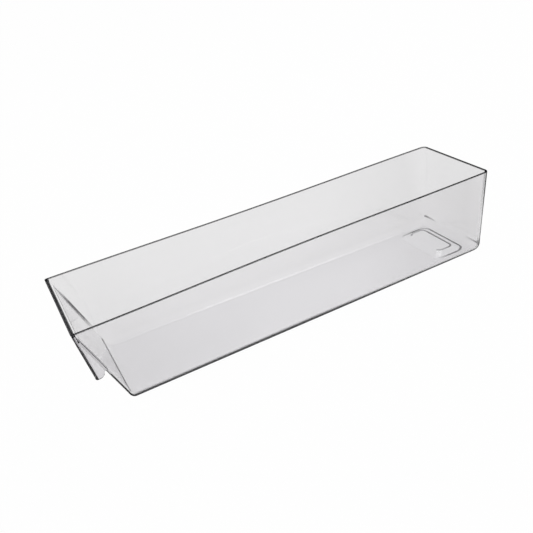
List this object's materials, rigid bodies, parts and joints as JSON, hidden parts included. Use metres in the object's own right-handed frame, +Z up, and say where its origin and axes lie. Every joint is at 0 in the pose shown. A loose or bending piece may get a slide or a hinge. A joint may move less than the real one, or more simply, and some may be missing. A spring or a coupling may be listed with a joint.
{
  "type": "fridge drawer organizer",
  "caption": "Long, narrow clear plastic storage bin for a fridge shelf, open at the top, with a sloping front wall and a hanging finger pull along the front rim.",
  "frame": {"origin": "middle of the bin's length and width, on the level it stands on", "axes": "+Z up, -Y towards the front and its pull, +X to the right of someone who faces away from the pull, along +Y"},
  "size_m": [0.1068, 0.3698, 0.0755],
  "materials": {
    "clear_plastic": "clear, faintly grey, glossy moulded plastic"
  },
  "bodies": {
    "root": {"bottom_pan": "clear_plastic", "rear_pad": "clear_plastic", "left_wall": "clear_plastic", "right_wall": "clear_plastic", "rear_wall": "clear_plastic", "front_wall": "clear_plastic", "pull_flap": "clear_plastic", "left_cheek": "clear_plastic", "right_cheek": "clear_plastic"}
  },
  "joints": []
}
